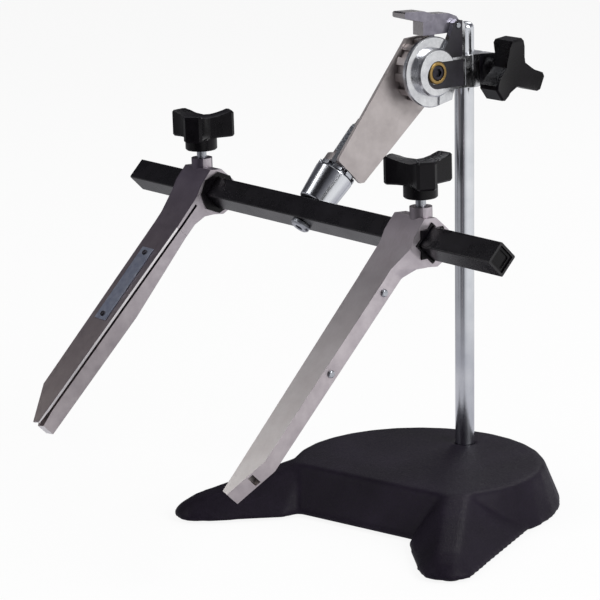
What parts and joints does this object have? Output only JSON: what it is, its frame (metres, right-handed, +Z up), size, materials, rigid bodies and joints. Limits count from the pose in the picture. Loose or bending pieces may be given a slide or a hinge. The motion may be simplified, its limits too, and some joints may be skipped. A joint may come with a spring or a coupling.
{
  "type": "circuit board holder",
  "caption": "Bench-top circuit board holder: heavy cast base, chrome post, sliding clamp head, tilting boom and a square crossbar with grooved arms that grip a board's edges.",
  "frame": {"origin": "on the table, under the middle of the holder's bounding box as it stands; the post's axis is at x = 0.0565 m, y = 0.1432 m", "axes": "+Z up along the post, -Y towards the base's front, where its two legs point, +X to the right seen from the front"},
  "size_m": [0.4513, 0.3884, 0.4042],
  "materials": {
    "base_paint": "wrinkle black paint on cast iron",
    "foot_rubber": "moulded rubber pad",
    "chrome": "bright chrome plating",
    "plated_steel": "zinc plated steel",
    "polished_casting": "polished die casting",
    "brass": "turned brass",
    "dark_steel": "black oxide steel",
    "satin_casting": "tumbled satin die casting",
    "knob_plastic": "moulded black plastic",
    "bar_paint": "black paint on square tube",
    "bare_plate": "bare aluminium plate"
  },
  "bodies": {
    "base": {"base_casting": "base_paint", "foot_pad_1": "foot_rubber", "foot_pad_2": "foot_rubber", "foot_pad_3": "foot_rubber", "foot_pad_4": "foot_rubber"},
    "column": {"post": "chrome", "post_washer": "plated_steel", "post_nut": "plated_steel"},
    "head": {"clamp_casting": "polished_casting", "pivot_bushing": "brass", "pivot_bolt": "dark_steel", "pivot_washer": "plated_steel", "pivot_nut": "plated_steel", "clamp_nut": "plated_steel", "lever_pin": "plated_steel"},
    "clamp_handle": {"clamp_knob": "knob_plastic", "clamp_stud": "plated_steel"},
    "lever": {"tilt_lever": "polished_casting"},
    "boom": {"boom_casting": "satin_casting", "tilt_drum": "dark_steel", "swivel_bushing": "brass"},
    "latch": {"index_latch": "plated_steel"},
    "frame": {"index_flange": "plated_steel", "sleeve": "chrome", "swivel_bolt": "plated_steel", "swivel_nut": "plated_steel", "crossbar": "bar_paint", "bar_plug_left": "knob_plastic", "bar_plug_right": "knob_plastic"},
    "left_arm": {"arm_left_casting": "satin_casting", "arm_left_liner": "knob_plastic", "name_plate": "bare_plate", "plate_rivet_1": "dark_steel", "plate_rivet_2": "dark_steel"},
    "left_handle": {"arm_left_knob": "knob_plastic", "arm_left_stud": "plated_steel"},
    "right_arm": {"arm_right_casting": "satin_casting", "arm_right_liner": "knob_plastic"},
    "right_handle": {"arm_right_knob": "knob_plastic", "arm_right_stud": "plated_steel"},
    "rail": {"spring_rail": "satin_casting", "rail_pin_1": "plated_steel", "rail_pin_2": "plated_steel"}
  },
  "joints": [
    {"name": "post_swivel", "type": "hinge", "parent": "base", "child": "column", "pos_m": [0.0565, 0.1432, 0.2], "axis": [0, 0, 1], "continuous": true},
    {"name": "head_height", "type": "slide", "parent": "column", "child": "head", "axis": [0, 0, 1], "range_m": [-0.19, 0.02]},
    {"name": "clamp_knob_turn", "type": "hinge", "parent": "head", "child": "clamp_handle", "pos_m": [0.06046, 0.16035, 0.35185], "axis": [0.9744, -0.225, 0], "continuous": true},
    {"name": "lever_lift", "type": "hinge", "parent": "head", "child": "lever", "pos_m": [0.05279, 0.12712, 0.3898], "axis": [-0.9744, 0.225, 0], "range_deg": [0, 20], "stiffness_Nm_per_rad": 0.4, "springref_deg": -17.19},
    {"name": "boom_tilt", "type": "hinge", "parent": "head", "child": "boom", "pos_m": [0.04739, 0.10374, 0.3542], "axis": [0.9744, -0.225, 0], "range_deg": [-150, 0]},
    {"name": "latch_release", "type": "slide", "parent": "boom", "child": "latch", "axis": [0.1563, 0.6769, 0.7193], "range_m": [0, 0.005], "stiffness_N_per_m": 300, "springref_m": -0.005},
    {"name": "bar_rotation", "type": "hinge", "parent": "boom", "child": "frame", "pos_m": [0.02303, 0.10936, 0.3542], "axis": [-0.1563, -0.6769, -0.7193], "range_deg": [-70, 55]},
    {"name": "left_arm_slide", "type": "slide", "parent": "frame", "child": "left_arm", "axis": [-0.9744, 0.225, 0], "range_m": [-0.085, 0.03]},
    {"name": "left_knob_turn", "type": "hinge", "parent": "left_arm", "child": "left_handle", "pos_m": [-0.13767, 0.04145, 0.24824], "axis": [-0.0039, -0.017, 0.9998], "continuous": true},
    {"name": "right_arm_slide", "type": "slide", "parent": "frame", "child": "right_arm", "axis": [0.9744, -0.225, 0], "range_m": [-0.085, 0.03]},
    {"name": "right_knob_turn", "type": "hinge", "parent": "right_arm", "child": "right_handle", "pos_m": [0.13477, -0.02145, 0.24824], "axis": [-0.0039, -0.017, 0.9998], "continuous": true},
    {"name": "rail_give", "type": "slide", "parent": "right_arm", "child": "rail", "axis": [0.9744, -0.225, 0], "range_m": [0, 0.006], "stiffness_N_per_m": 900, "springref_m": -0.004}
  ]
}
